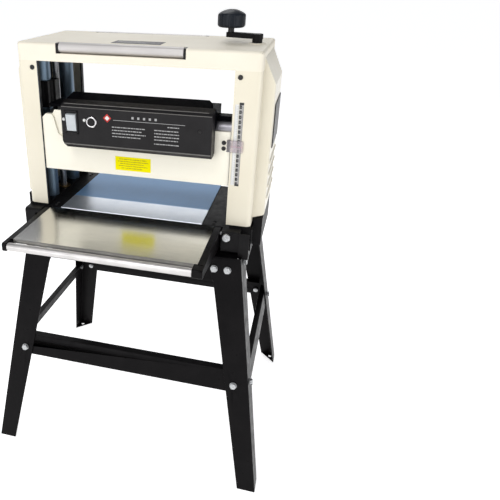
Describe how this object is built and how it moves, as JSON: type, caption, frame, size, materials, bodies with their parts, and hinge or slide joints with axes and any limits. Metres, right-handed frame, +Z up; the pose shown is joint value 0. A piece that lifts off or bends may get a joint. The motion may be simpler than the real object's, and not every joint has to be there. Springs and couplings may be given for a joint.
{
  "type": "thickness_planer",
  "caption": "Bench thickness planer with crank-raised cutterhead carriage, folding infeed and outfeed tables and a pressed-steel leg stand",
  "frame": {"origin": "on the floor under the middle of the stand", "axes": "+X operator's right, +Y feed direction, infeed (-Y) to outfeed (+Y), +Z up"},
  "size_m": [0.664, 0.66, 1.038],
  "materials": {
    "black_enamel": "gloss",
    "cream_enamel": "gloss",
    "table_steel": "brushed",
    "bright_chrome": "polished",
    "zinc_bolt": "satin",
    "tool_steel": "satin",
    "black_plastic": "satin",
    "grey_plastic": "satin",
    "cast_alloy": "cast",
    "cast_black": "painted",
    "bush_bronze": "machined",
    "black_rubber": "matte",
    "clear_plastic": "clear",
    "black_screw": "oxide"
  },
  "bodies": {
    "root": {"stand_front_legs": "black_enamel", "stand_rear_legs": "black_enamel", "stand_stretchers": "black_enamel", "stand_top_rails": "black_enamel", "stand_bolts": "zinc_bolt", "machine_feet": "black_rubber", "base_casting": "cast_black", "bed_plate": "table_steel", "guide_posts": "tool_steel", "inner_frame": "cast_black", "screw_bearings": "bush_bronze", "front_columns": "cream_enamel", "rear_columns": "cream_enamel", "top_cover": "cream_enamel", "top_roller_brackets": "black_plastic", "side_cover_left": "cream_enamel", "side_cover_right": "cream_enamel", "side_inserts": "black_plastic", "machine_screws": "black_screw", "sync_chain": "tool_steel", "table_hinge_bolts": "zinc_bolt"},
    "carriage": {"carriage_cheek_left": "cast_black", "carriage_cheek_right": "cast_black", "carriage_top_plate": "cast_black", "carriage_bushings": "cast_black", "carriage_bearings": "tool_steel", "carriage_front_bar": "cream_enamel", "carriage_screws": "black_screw", "scale_pointer": "clear_plastic", "control_fascia": "black_plastic", "motor_cover": "black_plastic", "power_gland": "black_rubber", "motor_body": "cast_alloy", "drive_belt": "black_rubber", "feed_gearbox": "cast_black", "pawl_rod": "tool_steel", "chip_deflector": "cream_enamel"},
    "cutterhead_unit": {"cutterhead": "tool_steel", "cutter_knives": "bright_chrome"},
    "rotor": {"motor_rotor": "tool_steel"},
    "feed_in": {"infeed_roller": "black_rubber"},
    "feed_out": {"outfeed_roller": "black_rubber"},
    "pawls": {"anti_kickback_pawls": "zinc_bolt"},
    "rocker": {"rocker_switch": "grey_plastic"},
    "reset": {"reset_button": "black_plastic"},
    "screw_right": {"lead_screw_right": "tool_steel", "sprocket_right": "tool_steel", "crank_arm": "cast_black", "crank_knob_bolt": "black_screw"},
    "screw_left": {"lead_screw_left": "tool_steel", "sprocket_left": "tool_steel"},
    "knob": {"crank_knob": "black_plastic"},
    "table_in": {"infeed_table": "table_steel", "infeed_side_plates": "black_enamel"},
    "table_out": {"outfeed_table": "table_steel", "outfeed_side_plates": "black_enamel"},
    "end_roller_in": {"infeed_end_roller": "bright_chrome"},
    "end_roller_out": {"outfeed_end_roller": "bright_chrome"},
    "top_roll_front": {"top_roller_front": "bright_chrome"},
    "top_roll_rear": {"top_roller_rear": "bright_chrome"}
  },
  "joints": [
    {"name": "carriage_slide", "type": "slide", "parent": "root", "child": "carriage", "axis": [0, 0, 1], "range_m": [-0.08, 0.066]},
    {"name": "right_screw_turn", "type": "hinge", "parent": "root", "child": "screw_right", "pos_m": [0.23, 0, 0.7], "axis": [0, 0, 1], "range_deg": [-14401, 11881]},
    {"name": "left_screw_turn", "type": "hinge", "parent": "root", "child": "screw_left", "pos_m": [-0.23, 0, 0.7], "axis": [0, 0, 1], "range_deg": [-14401, 11881]},
    {"name": "knob_spin", "type": "hinge", "parent": "screw_right", "child": "knob", "pos_m": [0.172, 0.017, 1.01], "axis": [0, 0, 1], "continuous": true},
    {"name": "cutterhead_spin", "type": "hinge", "parent": "carriage", "child": "cutterhead_unit", "pos_m": [-0.01, 0, 0.719], "axis": [1, 0, 0], "continuous": true},
    {"name": "motor_spin", "type": "hinge", "parent": "carriage", "child": "rotor", "pos_m": [0, -0.09, 0.812], "axis": [1, 0, 0], "continuous": true},
    {"name": "infeed_roller_spin", "type": "hinge", "parent": "carriage", "child": "feed_in", "pos_m": [-0.01, -0.062, 0.712], "axis": [1, 0, 0], "continuous": true},
    {"name": "outfeed_roller_spin", "type": "hinge", "parent": "carriage", "child": "feed_out", "pos_m": [-0.01, 0.062, 0.712], "axis": [1, 0, 0], "continuous": true},
    {"name": "pawl_swing", "type": "hinge", "parent": "carriage", "child": "pawls", "pos_m": [-0.01, -0.1, 0.738], "axis": [1, 0, 0], "range_deg": [0, 24]},
    {"name": "rocker_tilt", "type": "hinge", "parent": "carriage", "child": "rocker", "pos_m": [-0.129, -0.147, 0.818], "axis": [1, 0, 0], "range_deg": [-14, 0]},
    {"name": "reset_press", "type": "slide", "parent": "carriage", "child": "reset", "axis": [0, 1, 0], "range_m": [0, 0.003], "stiffness_N_per_m": 300},
    {"name": "infeed_table_fold", "type": "hinge", "parent": "root", "child": "table_in", "pos_m": [-0.01, -0.139, 0.598], "axis": [1, 0, 0], "range_deg": [-68, 0]},
    {"name": "outfeed_table_fold", "type": "hinge", "parent": "root", "child": "table_out", "pos_m": [-0.01, 0.139, 0.598], "axis": [1, 0, 0], "range_deg": [0, 68]},
    {"name": "infeed_end_roller_spin", "type": "hinge", "parent": "table_in", "child": "end_roller_in", "pos_m": [-0.01, -0.32, 0.596], "axis": [1, 0, 0], "continuous": true},
    {"name": "outfeed_end_roller_spin", "type": "hinge", "parent": "table_out", "child": "end_roller_out", "pos_m": [-0.01, 0.32, 0.596], "axis": [1, 0, 0], "continuous": true},
    {"name": "front_top_roller_spin", "type": "hinge", "parent": "root", "child": "top_roll_front", "pos_m": [-0.022, -0.111, 0.9635], "axis": [1, 0, 0], "continuous": true},
    {"name": "rear_top_roller_spin", "type": "hinge", "parent": "root", "child": "top_roll_rear", "pos_m": [-0.022, 0.111, 0.9635], "axis": [1, 0, 0], "continuous": true}
  ],
  "couplings": [
    {"joint": "right_screw_turn", "follows": "carriage_slide", "rad_per_m": 3141.6},
    {"joint": "left_screw_turn", "follows": "carriage_slide", "rad_per_m": 3141.6},
    {"joint": "motor_spin", "follows": "cutterhead_spin", "ratio": 1.4286},
    {"joint": "infeed_roller_spin", "follows": "cutterhead_spin", "ratio": 0.007874},
    {"joint": "outfeed_roller_spin", "follows": "cutterhead_spin", "ratio": 0.007874}
  ]
}
